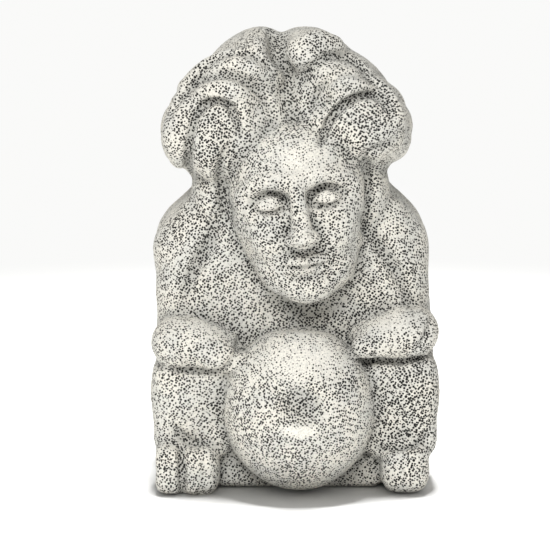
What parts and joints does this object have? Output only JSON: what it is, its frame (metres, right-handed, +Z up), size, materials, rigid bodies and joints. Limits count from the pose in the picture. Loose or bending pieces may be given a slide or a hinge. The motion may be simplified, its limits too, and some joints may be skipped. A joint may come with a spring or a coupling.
{
  "type": "carved stone tiki figure",
  "caption": "Squatting tiki figure carved from one block of light grey porous stone, with swept hair, closed eyes and a round belly.",
  "frame": {"origin": "middle of the resting face, on the floor, centred under the figure's box", "axes": "+Z up, -Y out of the carved front towards the viewer, +X to the right of someone facing the front"},
  "size_m": [0.2487, 0.1943, 0.3998],
  "materials": {
    "porous_stone": "matte"
  },
  "bodies": {
    "root": {"stone_figure": "porous_stone"}
  },
  "joints": []
}
